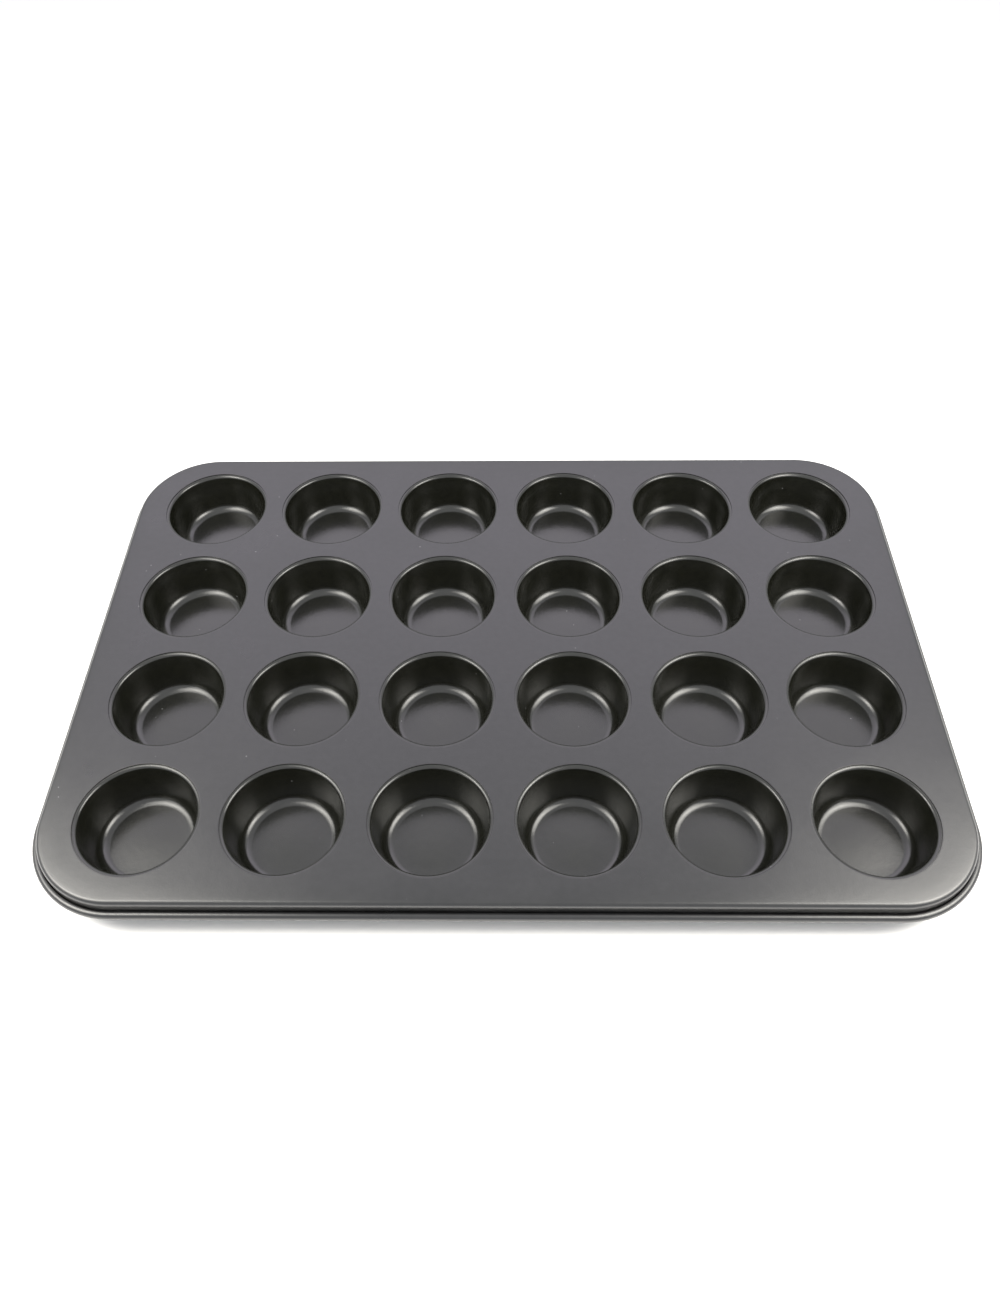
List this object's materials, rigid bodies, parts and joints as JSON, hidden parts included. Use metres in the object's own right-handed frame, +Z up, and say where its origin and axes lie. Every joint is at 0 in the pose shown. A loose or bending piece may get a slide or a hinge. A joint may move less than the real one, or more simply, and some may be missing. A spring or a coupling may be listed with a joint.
{
  "type": "muffin tin",
  "caption": "Mini-muffin tin in dark non-stick steel: a round-cornered plate with a wired rolled rim, and a grid of drawn tapered cups seamed into its holes.",
  "frame": {"origin": "middle of the tin in plan, on the surface that the bottoms of the cups stand on", "axes": "+X along the long side, to the right as seen from the front; +Y towards the back; +Z up, out of the cups' mouths"},
  "size_m": [0.3868, 0.2608, 0.0206],
  "materials": {
    "coated_plate": "satin dark grey non-stick coating on steel sheet, with a fine speckle",
    "coated_cup": "satin dark grey non-stick coating on drawn steel",
    "wire": "bare drawn wire"
  },
  "bodies": {
    "root": {"top_plate": "coated_plate", "cup_r1_c1": "coated_cup", "cup_r1_c2": "coated_cup", "cup_r1_c3": "coated_cup", "cup_r1_c4": "coated_cup", "cup_r1_c5": "coated_cup", "cup_r1_c6": "coated_cup", "cup_r2_c1": "coated_cup", "cup_r2_c2": "coated_cup", "cup_r2_c3": "coated_cup", "cup_r2_c4": "coated_cup", "cup_r2_c5": "coated_cup", "cup_r2_c6": "coated_cup", "cup_r3_c1": "coated_cup", "cup_r3_c2": "coated_cup", "cup_r3_c3": "coated_cup", "cup_r3_c4": "coated_cup", "cup_r3_c5": "coated_cup", "cup_r3_c6": "coated_cup", "cup_r4_c1": "coated_cup", "cup_r4_c2": "coated_cup", "cup_r4_c3": "coated_cup", "cup_r4_c4": "coated_cup", "cup_r4_c5": "coated_cup", "cup_r4_c6": "coated_cup", "rim_wire": "wire"}
  },
  "joints": []
}
